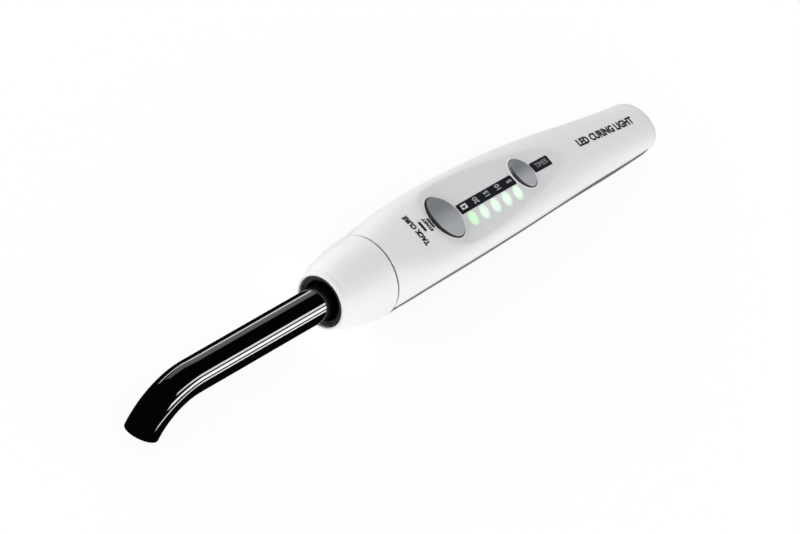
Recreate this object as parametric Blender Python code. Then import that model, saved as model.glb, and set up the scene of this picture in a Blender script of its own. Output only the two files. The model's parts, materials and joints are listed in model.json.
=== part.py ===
"""Cordless dental curing light: a pen-shaped handpiece with a bent, turning, pull-out light guide.

All lengths here are millimetres, and each mesh is scaled to metres when it is made.
Design frame: X runs along the light guide's axis towards the rear, with X = 0 at the front face of
the socket, Z points up through the buttons, and Y = 0 is the handpiece's plane of symmetry.
Every object is then moved so that the model's origin is the middle of its footprint, on the belly.
"""

import math

import bmesh
import bpy
from mathutils import Matrix, Vector

MM = 0.001
GAP = 0.3

# Light guide
GUIDE_R = 5.45
GUIDE_PLUG_X = 14.0
GUIDE_STRAIGHT_X = -58.0
GUIDE_BEND_R = 20.4
GUIDE_BEND = math.radians(66.5)
GUIDE_REST_TURN = math.radians(18.5)
GUIDE_TIP_CHAMFER = 0.6
CORE_R = 4.5
FERRULE_R = 6.1
FERRULE_X = (4.2, 13.8)
SEAT_RING_R = (6.35, 6.85)
SEAT_RING_X = (1.3, 12.9)

# Nose
SOCKET_R = 8.0
SOCKET_END_X = 14.2
NOSE_BORE_R = 8.3
SPIGOT_R = 11.2
SPIGOT_END_X = 25.0
SEAM_X = 19.9
SEAM_R = 13.35

# Handpiece
BODY_START_X = SEAM_X + GAP
BODY_END_X = 160.0
CAP_START_X = 152.0
CAP_POWER = 2.3
WALL = 1.7
BELLY_Z = -14.6
PARTING_GAP = 0.15

# Control panel
PANEL_FRONT_X = 42.0
PANEL_WIDEST_X = 55.5
PANEL_REAR_X = 107.0
PANEL_HALF_WIDTH = 11.4
PANEL_Z = 10.7
PANEL_DROP_START_X = 72.0
PANEL_DROP_R = 520.0

# Controls on the panel
START_X = 50.1
START_AXES = (5.3, 8.1)
TIMER_X = 87.7
TIMER_AXES = (3.9, 5.8)
BUTTON_CROWN = 0.8
INDICATOR_X = 59.3
INDICATOR_PITCH = 5.33
INDICATOR_Y = -4.4
INDICATOR_COUNT = 5
STRIP_X = (56.8, 82.9)
LABEL_X = (92.4, 100.8)
STRIP_WIDTH = 3.4
STRIP_DEPTH = 0.5

# Inside
BOARD_Z = (3.8, 5.2)
BOARD_X = (44.0, 104.0)
CELL_R = 7.0
CELL_Z = -3.6
CELL_X = (52.2, 102.0)
SCREW_XS = {"front": 108.0, "rear": 146.5}
CONTACT_XS = {"front": 122.0, "rear": 133.0}

ROUND_STEPS = 28
SMALL_STEPS = 16

TIP_X = GUIDE_STRAIGHT_X - GUIDE_BEND_R * math.sin(GUIDE_BEND)
FRONT_X = TIP_X + GUIDE_TIP_CHAMFER * math.cos(GUIDE_BEND) - GUIDE_R * math.sin(GUIDE_BEND)
ORIGIN = Vector((-(FRONT_X + BODY_END_X) / 2, 0, -BELLY_Z))

# Handpiece stations: x, half width, height of the widest line, crown height, squareness above and
# below the widest line, and how far below the widest line the casings part
STATIONS = (
    (20, 13.35, 0.0, 13.35, 2.0, 2.0, 0.0),
    (30, 13.85, 3.3, 13.1, 2.2, 2.0, 0.8),
    (42, 14.1, 5.8, 12.7, 2.5, 2.0, 1.8),
    (56, 14.05, 6.4, 12.5, 2.6, 2.0, 1.95),
    (72, 13.6, 5.9, 12.1, 2.6, 2.0, 1.95),
    (88, 12.95, 4.9, 11.3, 2.5, 2.0, 1.6),
    (100, 12.2, 3.3, 10.4, 2.4, 2.0, 1.1),
    (112, 11.35, 1.2, 8.8, 2.3, 2.1, 0.65),
    (124, 10.5, -1.1, 6.4, 2.2, 2.3, 0.35),
    (136, 9.8, -3.1, 3.8, 2.1, 2.5, 0.3),
    (148, 9.1, -4.6, 1.3, 2.1, 2.5, 0.3),
    (160, 8.4, -5.6, -0.8, 2.1, 2.5, 0.3),
)
BELLY_CURVE_DEPTH = 3.2
BELLY_FLAT_X = 30.0


# ---------------------------------------------------------------- materials


def plastic(name, colour, roughness, metallic=0.0):
    material = bpy.data.materials.new(name)
    material.use_nodes = True
    shader = material.node_tree.nodes["Principled BSDF"]
    shader.inputs["Base Color"].default_value = (*colour, 1)
    shader.inputs["Roughness"].default_value = roughness
    shader.inputs["Metallic"].default_value = metallic
    return material


def make_materials():
    return {
        "white": plastic("casing_white", (0.86, 0.86, 0.85), 0.35),
        "grey": plastic("casing_grey", (0.16, 0.165, 0.17), 0.5),
        "button": plastic("button_grey", (0.28, 0.29, 0.31), 0.45),
        "black": plastic("socket_black", (0.012, 0.012, 0.013), 0.35),
        "jacket": plastic("guide_black", (0.006, 0.006, 0.007), 0.08),
        "glass": plastic("guide_glass", (0.75, 0.8, 0.8), 0.05),
        "rubber": plastic("rubber_dark", (0.03, 0.03, 0.03), 0.8),
        "steel": plastic("steel", (0.6, 0.6, 0.62), 0.3, 1.0),
        "aluminium": plastic("aluminium", (0.75, 0.76, 0.78), 0.35, 1.0),
        "brass": plastic("gold_contact", (0.85, 0.62, 0.25), 0.25, 1.0),
        "board": plastic("board_green", (0.02, 0.14, 0.06), 0.5),
        "strip": plastic("strip_black", (0.014, 0.014, 0.02), 0.4),
        "glow": plastic("indicator_green", (0.6, 0.95, 0.6), 0.3),
        "emitter": plastic("emitter_yellow", (0.85, 0.75, 0.2), 0.3),
        "cell": plastic("cell_blue", (0.05, 0.12, 0.35), 0.4),
    }


# ---------------------------------------------------------------- mesh helpers


def finish_mesh(name, bm, material, place=(0, 0, 0)):
    """Makes the object at place in the design frame, with outward faces and a mesh in metres."""
    bmesh.ops.remove_doubles(bm, verts=bm.verts, dist=1e-5)
    bmesh.ops.recalc_face_normals(bm, faces=bm.faces)
    bmesh.ops.scale(bm, vec=(MM, MM, MM), verts=bm.verts)
    mesh = bpy.data.meshes.new(name)
    bm.to_mesh(mesh)
    bm.free()
    mesh.shade_smooth()
    mesh.set_sharp_from_angle(angle=math.radians(35))
    obj = bpy.data.objects.new(name, mesh)
    bpy.context.scene.collection.objects.link(obj)
    obj.location = (ORIGIN + Vector(place)) * MM
    if material:
        mesh.materials.append(material)
    return obj


def ring_strip(bm, first, second):
    """Joins two closed rings of the same length with quads."""
    count = len(first)
    for i in range(count):
        j = (i + 1) % count
        bm.faces.new((first[i], first[j], second[j], second[i]))


def stack_rings(bm, rings):
    """Lofts through closed rings of points, with a flat face on each end."""
    made = [[bm.verts.new(point) for point in ring] for ring in rings]
    for first, second in zip(made, made[1:]):
        ring_strip(bm, first, second)
    bm.faces.new(made[0][::-1])
    bm.faces.new(made[-1])


def loop_rings(bm, rings):
    """Lofts through closed rings of points and back to the first ring, so the body has a hole."""
    made = [[bm.verts.new(point) for point in ring] for ring in rings]
    for first, second in zip(made, made[1:] + made[:1]):
        ring_strip(bm, first, second)


def turned(name, material, profile, steps=ROUND_STEPS):
    """Turns a closed outline of (x, radius) points about the light guide's axis."""
    bm = bmesh.new()
    points = [bm.verts.new((x, 0, r)) for x, r in profile]
    edges = [bm.edges.new((a, b)) for a, b in zip(points, points[1:])]
    touches_axis = profile[0][1] == 0 and profile[-1][1] == 0
    if not touches_axis:
        edges.append(bm.edges.new((points[-1], points[0])))
    bmesh.ops.spin(
        bm, geom=points + edges, cent=(0, 0, 0), axis=(1, 0, 0),
        angle=math.tau, steps=steps, use_merge=True,
    )
    return finish_mesh(name, bm, material)


def tube_profile(x0, x1, inner, outer, chamfer=0.0):
    c = chamfer
    if not c:
        return [(x0, inner), (x0, outer), (x1, outer), (x1, inner)]
    return [(x0, inner), (x0, outer - c), (x0 + c, outer), (x1 - c, outer), (x1, outer - c), (x1, inner)]


def oval(rx, ry, z, steps=ROUND_STEPS):
    """Points round an oval, with none on its axes, so that a cut never meets a casing's edge exactly."""
    angles = [math.tau * (i + 0.5) / steps for i in range(steps)]
    return [(rx * math.cos(a), ry * math.sin(a), z) for a in angles]


def disc(name, material, radius, z0, z1, x, y=0.0, steps=SMALL_STEPS):
    """An upright cylinder from z0 to z1."""
    bm = bmesh.new()
    stack_rings(bm, [oval(radius, radius, z0, steps), oval(radius, radius, z1, steps)])
    return finish_mesh(name, bm, material, (x, y, 0))


def block(name, material, low, high, chamfer=0.0):
    bm = bmesh.new()
    bmesh.ops.create_cube(bm, size=1)
    size = [b - a for a, b in zip(low, high)]
    bmesh.ops.scale(bm, vec=size, verts=bm.verts)
    if chamfer:
        bmesh.ops.bevel(bm, geom=bm.edges, offset=chamfer, segments=1, affect="EDGES")
    centre = [(a + b) / 2 for a, b in zip(low, high)]
    return finish_mesh(name, bm, material, centre)


def cutter(obj):
    obj.hide_render = True
    obj.display_type = "WIRE"
    return obj


def join_or_cut(target, other, operation):
    """Applies a Boolean to target and removes the other object."""
    modifier = target.modifiers.new(operation.lower(), "BOOLEAN")
    modifier.operation = operation
    modifier.object = cutter(other)
    bpy.context.view_layer.update()
    graph = bpy.context.evaluated_depsgraph_get()
    mesh = bpy.data.meshes.new_from_object(target.evaluated_get(graph))
    target.modifiers.clear()
    target.data = mesh
    bpy.data.objects.remove(other)


# ---------------------------------------------------------------- handpiece shape


def station(x):
    """The values of the handpiece's section at x, on a smooth curve through the stations."""
    last = len(STATIONS) - 1
    i = 0
    while i < last - 1 and STATIONS[i + 1][0] <= x:
        i += 1
    before, start, end, after = (STATIONS[min(max(j, 0), last)] for j in range(i - 1, i + 3))
    length = end[0] - start[0]
    t = (x - start[0]) / length
    values = []
    for column in range(1, len(start)):
        slope_in = (end[column] - before[column]) / (end[0] - before[0])
        slope_out = (after[column] - start[column]) / (after[0] - start[0])
        values.append(
            (2 * t**3 - 3 * t**2 + 1) * start[column] + (3 * t**2 - 2 * t**3) * end[column]
            + (t**3 - 2 * t**2 + t) * slope_in * length + (t**3 - t**2) * slope_out * length
        )
    return values


def panel_half_width(x):
    """Half width of the panel's egg-shaped outline, or 0 outside it."""
    if not PANEL_FRONT_X < x < PANEL_REAR_X:
        return 0.0
    if x < PANEL_WIDEST_X:
        u = (PANEL_WIDEST_X - x) / (PANEL_WIDEST_X - PANEL_FRONT_X)
        return PANEL_HALF_WIDTH * (1 - u**2.3) ** (1 / 2.3)
    u = (x - PANEL_WIDEST_X) / (PANEL_REAR_X - PANEL_WIDEST_X)
    return PANEL_HALF_WIDTH * (1 - u**1.7) ** 0.55


def panel_height(x):
    """Height of the panel's floor: level, then falling gently towards the rear."""
    return PANEL_Z - max(x - PANEL_DROP_START_X, 0) ** 2 / (2 * PANEL_DROP_R)


def smooth_step(low, high, value):
    t = min(max((value - low) / (high - low), 0), 1)
    return t * t * (3 - 2 * t)


def cap_scale(x, end_x):
    """1 along the handpiece, falling to 0 at its rounded rear end."""
    length = end_x - CAP_START_X
    u = min(max((x - CAP_START_X) / length, 0), 1)
    return (1 - u**CAP_POWER) ** (1 / CAP_POWER)


def section(x, inset):
    """Half width, widest height, rise, drop and squareness up and down of the section, moved in by inset."""
    half_width, widest_z, crown_z, square_up, square_down, _ = station(x)
    bottom_z = -SEAM_R - BELLY_CURVE_DEPTH * smooth_step(BODY_START_X, BELLY_FLAT_X, x)
    rise, drop = crown_z - widest_z - inset, widest_z - bottom_z - inset
    return half_width - inset, widest_z, rise, drop, square_up, square_down


def section_point(x, angle, inset):
    """(y, z) at an angle that runs from the far side (0) over the crown (pi / 2)."""
    half_width, widest_z, rise, drop, square_up, square_down = section(x, inset)
    across, up = math.cos(angle), math.sin(angle)
    power, height = (square_up, rise) if up >= 0 else (square_down, drop)
    y = half_width * math.copysign(abs(across) ** (2 / power), across)
    z = widest_z + height * math.copysign(abs(up) ** (2 / power), up)
    reach = panel_half_width(x) + inset * 0.6
    if up > 0 and panel_half_width(x) > 0 and abs(y) < reach:
        z = min(z, panel_height(x) - inset)
    return y, max(z, BELLY_Z + inset)


def angle_at(x, z, inset):
    """The far side's angle at height z."""
    _, widest_z, rise, drop, square_up, square_down = section(x, inset)
    if z >= widest_z:
        return math.asin(((z - widest_z) / rise) ** (square_up / 2))
    return -math.asin(((widest_z - z) / drop) ** (square_down / 2))


def parting_height(x):
    _, widest_z, _, _, _, below = station(x)
    return widest_z - below


def casing_point(x, share, inset, end_x, side):
    """Point on a casing: side is 1 above the parting line and -1 below, share runs across it."""
    edge_z = parting_height(x) + side * PARTING_GAP
    edge_angle = angle_at(x, edge_z, inset)
    angle = edge_angle + (math.pi - 2 * edge_angle) * share
    if side < 0:
        angle = edge_angle - (math.pi + 2 * edge_angle) * share
    y, z = section_point(x, angle, inset)
    scale = cap_scale(x, end_x)
    return x, y * scale, edge_z + (z - edge_z) * scale


def shell(name, material, side, columns):
    """A half shell of the handpiece: open at the front, closed by a dome at the rear."""
    xs = [BODY_START_X, 24, 28, 32, 36, 39.5, 42.1, 43.8, 47, 51, 56, 62, 69, 76, 83, 89, 95]
    xs += [100, 104, 107.2, 112, 118, 125, 132, 139, 146]
    cap = BODY_END_X - CAP_START_X
    xs += [CAP_START_X + cap * share for share in (0, 0.35, 0.65, 0.85, 0.96)]
    inner_end = BODY_END_X - WALL
    bm = bmesh.new()
    skins = []
    for inset, end_x in ((0.0, BODY_END_X), (WALL, inner_end)):
        rows = []
        for x in xs:
            if inset and x > CAP_START_X:
                x = CAP_START_X + (x - CAP_START_X) * (inner_end - CAP_START_X) / cap
            shares = [i / columns for i in range(columns + 1)]
            rows.append([bm.verts.new(casing_point(x, s, inset, end_x, side)) for s in shares])
        pole = bm.verts.new((end_x, 0, parting_height(end_x) + side * PARTING_GAP))
        skins.append((rows, pole))
    for rows, pole in skins:
        for low, high in zip(rows, rows[1:]):
            for i in range(columns):
                bm.faces.new((low[i], low[i + 1], high[i + 1], high[i]))
        for i in range(columns):
            bm.faces.new((rows[-1][i], rows[-1][i + 1], pole))
    (outer, outer_pole), (inner, inner_pole) = skins
    for i in range(columns):
        bm.faces.new((outer[0][i], outer[0][i + 1], inner[0][i + 1], inner[0][i]))
    for column in (0, columns):
        for i in range(len(xs) - 1):
            j = i + 1
            bm.faces.new((outer[i][column], outer[j][column], inner[j][column], inner[i][column]))
        bm.faces.new((outer[-1][column], outer_pole, inner_pole, inner[-1][column]))
    return finish_mesh(name, bm, material)


def upper_casing(materials):
    casing = shell("upper_casing", materials["white"], 1, 26)
    for x, axes in ((START_X, START_AXES), (TIMER_X, TIMER_AXES)):
        bm = bmesh.new()
        rx, ry = axes[0] + GAP, axes[1] + GAP
        stack_rings(bm, [oval(rx, ry, 5), oval(rx, ry, 16)])
        join_or_cut(casing, finish_mesh("opening", bm, None, (x, 0, 0)), "DIFFERENCE")
    for x0, x1 in (STRIP_X, LABEL_X):
        depth = STRIP_DEPTH + 0.1
        low = (x0 - GAP, -STRIP_WIDTH / 2 - GAP, panel_height(x1) - depth)
        high = (x1 + GAP, STRIP_WIDTH / 2 + GAP, 16)
        join_or_cut(casing, block("pocket", None, low, high), "DIFFERENCE")
    for x in SCREW_XS.values():
        crown_z = station(x)[2]
        post = disc("post", None, 2.8, -9.0, crown_z - WALL / 2, x)
        join_or_cut(casing, post, "UNION")
        pilot = disc("pilot", None, 1.4, -12, crown_z - WALL - 3, x)
        join_or_cut(casing, pilot, "DIFFERENCE")
    return casing


def lower_casing(materials):
    casing = shell("lower_casing", materials["grey"], -1, 16)
    for x in SCREW_XS.values():
        join_or_cut(casing, disc("boss", None, 3.4, BELLY_Z + WALL / 2, -9.4, x), "UNION")
        join_or_cut(casing, disc("head_recess", None, 2.6, -20, -11.2, x), "DIFFERENCE")
        join_or_cut(casing, disc("screw_hole", None, 1.4, -20, 0, x), "DIFFERENCE")
    for x in CONTACT_XS.values():
        join_or_cut(casing, disc("contact_hole", None, 2.0, -20, -9, x), "DIFFERENCE")
    return casing


# ---------------------------------------------------------------- nose and light guide


def nose_cone(materials):
    profile = [
        (-0.3, NOSE_BORE_R), (-0.7, 8.55), (-0.8, 8.9), (-0.55, 9.4), (0.1, 9.8), (1.5, 10.2),
        (4.0, 10.95), (7.0, 11.7), (10.5, 12.35), (14.0, 12.85), (17.0, 13.15), (SEAM_X, SEAM_R),
        (SEAM_X, SPIGOT_R), (21.9, SPIGOT_R), (21.9, 10.4), (23.2, 10.4), (23.2, SPIGOT_R),
        (SPIGOT_END_X, SPIGOT_R), (SPIGOT_END_X, 9.4), (18.6, 9.4), (17.5, NOSE_BORE_R),
    ]
    turned("nose_cone", materials["white"], profile, 36)
    ring_r, ring_thick = 10.95, 0.35
    circle = [math.tau * i / 6 for i in range(6)]
    gasket = [(22.55 + ring_thick * math.cos(a), ring_r + ring_thick * math.sin(a)) for a in circle]
    turned("nose_gasket", materials["rubber"], gasket)


def socket(materials):
    bore, lip = SEAT_RING_R[1] + 0.25, SEAT_RING_R[1] - 0.1
    profile = [
        (0, 7.3), (0, SOCKET_R), (SOCKET_END_X, SOCKET_R), (SOCKET_END_X, 6.4), (13.2, 6.4),
        (13.2, bore), (1.0, bore), (1.0, lip),
    ]
    turned("socket_insert", materials["black"], profile)
    turned("magnet_ring", materials["steel"], tube_profile(14.5, 16.5, 5.0, 8.0, 0.2))
    inner, outer = SEAT_RING_R
    x0, x1 = SEAT_RING_X
    ring = [(x0, outer - 0.15), (x0 + 0.2, outer), (x1, outer), (x1, inner), (x0 + 1.9, inner)]
    turned("seat_ring", materials["black"], ring)


def guide_path(extra=0.0):
    """Points and directions along the guide, from its plug end to its tip."""
    points = []
    for x in (GUIDE_PLUG_X - extra, 0, -28, GUIDE_STRAIGHT_X):
        points.append((Vector((x, 0, 0)), Vector((-1, 0, 0))))
    steps = 8
    for i in range(1, steps + 1):
        a = GUIDE_BEND * i / steps
        x = GUIDE_STRAIGHT_X - GUIDE_BEND_R * math.sin(a)
        z = -GUIDE_BEND_R * (1 - math.cos(a))
        points.append((Vector((x, 0, z)), Vector((-math.cos(a), 0, -math.sin(a)))))
    return points


def guide_ring(centre, direction, radius, steps=24):
    across = Vector((0, 1, 0))
    up = across.cross(direction)
    angles = [math.tau * i / steps for i in range(steps)]
    return [centre + across * (radius * math.sin(a)) + up * (radius * math.cos(a)) for a in angles]


def light_guide(materials):
    path = guide_path()
    end, way = path[-1]
    rings = [guide_ring(p, d, GUIDE_R) for p, d in path[:-1]]
    rings.append(guide_ring(end - way * GUIDE_TIP_CHAMFER, way, GUIDE_R))
    rings.append(guide_ring(end, way, GUIDE_R - GUIDE_TIP_CHAMFER))
    rings += [guide_ring(p, d, CORE_R + GAP) for p, d in reversed(path)]
    bm = bmesh.new()
    loop_rings(bm, rings)
    turn = Matrix.Rotation(-GUIDE_REST_TURN, 4, "X")
    bm.transform(turn)
    finish_mesh("guide_sheath", bm, materials["jacket"])

    core = guide_path(extra=0.4)
    core[-1] = (end - way * 0.15, way)
    bm = bmesh.new()
    stack_rings(bm, [guide_ring(p, d, CORE_R, 18) for p, d in core])
    bm.transform(turn)
    finish_mesh("guide_core", bm, materials["glass"])

    turned("guide_ferrule", materials["steel"], tube_profile(*FERRULE_X, GUIDE_R + 0.25, FERRULE_R, 0.15))
    circle = [math.tau * i / 6 for i in range(6)]
    o_ring = [(3.55 + 0.3 * math.cos(a), 5.9 + 0.28 * math.sin(a)) for a in circle]
    turned("guide_o_ring", materials["rubber"], o_ring)


def optics(materials):
    lens = [(14.6, 0), (14.6, 4.6), (15.4, 4.6), (16.6, 3.4), (17.1, 1.7), (17.3, 0)]
    turned("collimator_lens", materials["glass"], lens, 24)
    holder = [(16.9, 5.6), (16.9, 8.0), (21.6, 8.0), (21.6, 3.1), (20.2, 3.1), (17.6, 5.0)]
    turned("lens_holder", materials["black"], holder, 24)
    dome = [(19.3, 0), (19.5, 1.0), (20.1, 1.8), (20.8, 2.1), (20.8, 2.7), (21.6, 2.7), (21.6, 0)]
    turned("led_emitter", materials["emitter"], dome, 24)
    turned("led_board", materials["aluminium"], [(22.0, 0), (22.0, 8.6), (23.4, 8.6), (23.4, 0)], 24)
    fins = [(23.8, 0), (23.8, 8.7), (26.4, 8.7)]
    x = 26.4
    while x < 38:
        fins += [(x, 6.2), (x + 1.6, 6.2), (x + 1.6, 8.7), (x + 3.0, 8.7)]
        x += 3.0
    fins.append((x, 0))
    turned("heat_sink", materials["aluminium"], fins, 24)


# ---------------------------------------------------------------- controls


def crowned(points, ry, floor_z, edge_z):
    """Lets a cap's edge fall towards its two ends, as the crown of the casing does."""
    lowered = []
    for x, y, z in points:
        share = min(max((z - floor_z) / (edge_z - floor_z), 0), 1)
        lowered.append((x, y, z - BUTTON_CROWN * share * (y / ry) ** 2))
    return lowered


def push_button(name, materials, x, axes, floor_z, travel_top, edge_z, flange):
    """A domed oval cap with flared sides, a flange under the casing and a hollow for the switch."""
    rx, ry = axes
    base = floor_z - 3.9
    ceiling = floor_z - 0.3
    hollow = (rx - 1.3, ry - 1.3)
    outside = [
        (rx + flange, ry + flange, base), (rx + flange, ry + flange, base + 0.8),
        (rx, ry, base + 0.8), (rx, ry, floor_z), (rx - 0.4, ry - 0.4, edge_z - 0.45),
        (rx - 0.5, ry - 0.5, edge_z - 0.15), (rx - 0.8, ry - 0.8, edge_z + 0.03),
        (rx * 0.66, ry * 0.66, edge_z + 0.26), (rx * 0.38, ry * 0.38, travel_top - 0.04),
        (rx * 0.12, ry * 0.12, travel_top),
    ]
    inside = [(hollow[0] * 0.5, hollow[1] * 0.5, ceiling), (*hollow, ceiling - 0.4), (*hollow, base)]
    bm = bmesh.new()
    rings = [[bm.verts.new(p) for p in crowned(oval(*row), ry, floor_z, edge_z)] for row in outside]
    cavity = [[bm.verts.new(p) for p in oval(*row)] for row in inside]
    for first, second in zip(rings, rings[1:]):
        ring_strip(bm, first, second)
    bm.faces.new(rings[-1])
    bm.faces.new(cavity[0])
    for first, second in zip(cavity, cavity[1:]):
        ring_strip(bm, first, second)
    ring_strip(bm, cavity[-1], rings[0])
    finish_mesh(name + "_button", bm, materials["button"], (x, 0, 0))
    plunger_base = 7.9
    disc(name + "_plunger", materials["white"], 1.4, plunger_base, ceiling - 0.7, x)


def button_seal(name, materials, x, axes, z0, z1):
    rx, ry = axes
    inner, outer = (rx + 0.35, ry + 0.35), (rx + 1.1, ry + 1.1)
    bm = bmesh.new()
    loop_rings(bm, [oval(*inner, z0, 32), oval(*inner, z1, 32), oval(*outer, z1, 32), oval(*outer, z0, 32)])
    finish_mesh(name + "_seal", bm, materials["rubber"], (x, 0, 0))


def controls(materials):
    start_floor = panel_height(START_X)
    timer_floor = panel_height(TIMER_X)
    push_button("start", materials, START_X, START_AXES, start_floor, 12.95, 12.4, 1.0)
    push_button("timer", materials, TIMER_X, TIMER_AXES, timer_floor, 12.05, 11.7, 0.9)
    button_seal("start", materials, START_X, START_AXES, start_floor - 2.8, start_floor - 2.0)
    button_seal("timer", materials, TIMER_X, TIMER_AXES, timer_floor - 2.8, timer_floor - 2.0)
    board_top = BOARD_Z[1] + GAP
    for name, x, half in (("start", START_X, 3.0), ("timer", TIMER_X, 2.2)):
        low, high = (x - half, -half, board_top), (x + half, half, board_top + 1.5)
        block(name + "_switch", materials["black"], low, high, 0.2)
    for i in range(INDICATOR_COUNT):
        x = INDICATOR_X + INDICATOR_PITCH * i
        low, high = (x - 1.0, INDICATOR_Y - 0.6, board_top), (x + 1.0, INDICATOR_Y + 0.6, board_top + 0.8)
        block(f"indicator_led_{i + 1}", materials["glow"], low, high, 0.15)
    last_x = INDICATOR_X + INDICATOR_PITCH * (INDICATOR_COUNT - 1)
    low = (INDICATOR_X - 2.2, INDICATOR_Y - 1.9, board_top + 1.1)
    high = (last_x + 1.6, INDICATOR_Y + 1.9, panel_height(last_x) - WALL - 0.35)
    screen = block("indicator_screen", materials["white"], low, high, 0.2)
    for i in range(INDICATOR_COUNT):
        x = INDICATOR_X + INDICATOR_PITCH * i
        tunnel = disc("tunnel", None, 1.3, board_top, 12, x, INDICATOR_Y, 16)
        join_or_cut(screen, tunnel, "DIFFERENCE")
    for name, (x0, x1) in (("display_strip", STRIP_X), ("timer_label", LABEL_X)):
        top = panel_height(x1) + 0.02
        low = (x0, -STRIP_WIDTH / 2, top - STRIP_DEPTH + GAP)
        high = (x1, STRIP_WIDTH / 2, top)
        block(name, materials["strip"], low, high)
    low, high = (BOARD_X[0], -8.4, BOARD_Z[0]), (BOARD_X[1], 8.4, BOARD_Z[1])
    block("control_board", materials["board"], low, high)


# ---------------------------------------------------------------- power


def battery(materials):
    x0, x1 = CELL_X
    bm = bmesh.new()
    rings = [(0.6, x0), (CELL_R - 0.6, x0), (CELL_R, x0 + 0.6), (CELL_R, x1 - 1.6)]
    rings += [(CELL_R - 0.6, x1 - 1.0), (2.6, x1 - 1.0), (2.6, x1)]
    turn = [math.tau * i / 28 for i in range(28)]
    stack_rings(bm, [[(x, r * math.sin(a), r * math.cos(a)) for a in turn] for r, x in rings])
    finish_mesh("battery_cell", bm, materials["cell"], (0, 0, CELL_Z))

    angles = [math.radians(205 + 130 * i / 12) for i in range(13)]
    outline = [((CELL_R + GAP) * math.cos(a), (CELL_R + GAP) * math.sin(a)) for a in angles]
    outline += [((CELL_R + 0.85) * math.cos(a), (CELL_R + 0.85) * math.sin(a)) for a in reversed(angles)]
    bm = bmesh.new()
    stack_rings(bm, [[(x, y, z) for y, z in outline] for x in (x0 + 4, x1 - 4)])
    finish_mesh("battery_cradle", bm, materials["black"], (0, 0, CELL_Z))

    curve = bpy.data.curves.new("battery_spring", "CURVE")
    curve.dimensions = "3D"
    curve.bevel_depth = 0.35 * MM
    curve.bevel_resolution = 1
    curve.use_fill_caps = True
    turns, points = 3, 36
    spline = curve.splines.new("POLY")
    spline.points.add(points)
    for i in range(points + 1):
        t = i / points
        a = math.tau * turns * t
        radius = 4.6 - 2.2 * t
        at = Vector((46.0 + 5.6 * t, radius * math.sin(a), radius * math.cos(a)))
        spline.points[i].co = (*(at * MM), 1)
    spring = bpy.data.objects.new("battery_spring", curve)
    spring.location = (ORIGIN + Vector((0, 0, CELL_Z))) * MM
    curve.materials.append(materials["steel"])
    bpy.context.scene.collection.objects.link(spring)

    low, high = (x1 + GAP, -4.0, CELL_Z - 4.0), (x1 + GAP + 0.6, 4.0, CELL_Z + 4.0)
    block("battery_contact", materials["steel"], low, high, 0.1)


def charging(materials):
    low, high = (113.5, -4.4, -10.0), (140.5, 4.4, -8.8)
    block("charging_board", materials["board"], low, high)
    for place, x in CONTACT_XS.items():
        disc("charging_contact_" + place, materials["brass"], 1.6, BELLY_Z + 0.1, -10.4, x)
    disc("buzzer", materials["black"], 4.0, -8.4, -6.2, 127.5, 0, 24)


def casing_screws(materials):
    for place, x in SCREW_XS.items():
        bm = bmesh.new()
        head, shank = 2.2, 1.05
        z_head, z_seat = BELLY_Z + 0.4, -11.55
        top = station(x)[2] - WALL - 3.5
        rings = [oval(1.0, 1.0, z_head + 0.8, 6), oval(1.0, 1.0, z_head, 6)]
        hexagon = [[bm.verts.new(p) for p in ring] for ring in rings]
        outer = [
            oval(head - 0.2, head - 0.2, z_head, 18), oval(head, head, z_head + 0.2, 18),
            oval(head, head, z_seat, 18), oval(shank, shank, z_seat, 18), oval(shank, shank, top, 18),
        ]
        rows = [[bm.verts.new(p) for p in ring] for ring in outer]
        for first, second in zip(rows, rows[1:]):
            ring_strip(bm, first, second)
        bm.faces.new(rows[-1])
        bm.faces.new(hexagon[0])
        ring_strip(bm, hexagon[0], hexagon[1])
        for i in range(6):
            a, b = hexagon[1][i], hexagon[1][(i + 1) % 6]
            arc = [rows[0][(3 * i + k) % 18] for k in range(4)]
            bm.faces.new((a, *arc, b))
        finish_mesh("casing_screw_" + place, bm, materials["steel"], (x, 0, 0))


def build():
    for obj in list(bpy.data.objects):
        bpy.data.objects.remove(obj)
    materials = make_materials()
    upper_casing(materials)
    lower_casing(materials)
    nose_cone(materials)
    socket(materials)
    light_guide(materials)
    optics(materials)
    controls(materials)
    battery(materials)
    charging(materials)
    casing_screws(materials)


build()
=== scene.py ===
"""Looks of a cordless dental curing light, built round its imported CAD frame.

Shapes are worked out in millimetres in the design frame: X runs along the light guide's axis towards
the rear with X = 0 at the front face of the socket, Z points up through the buttons, and Y = 0 is the
handpiece's plane of symmetry. add_piece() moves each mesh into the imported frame, in metres.
"""

import json
import math

import bmesh
import bpy
from mathutils import Matrix, Vector

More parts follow.
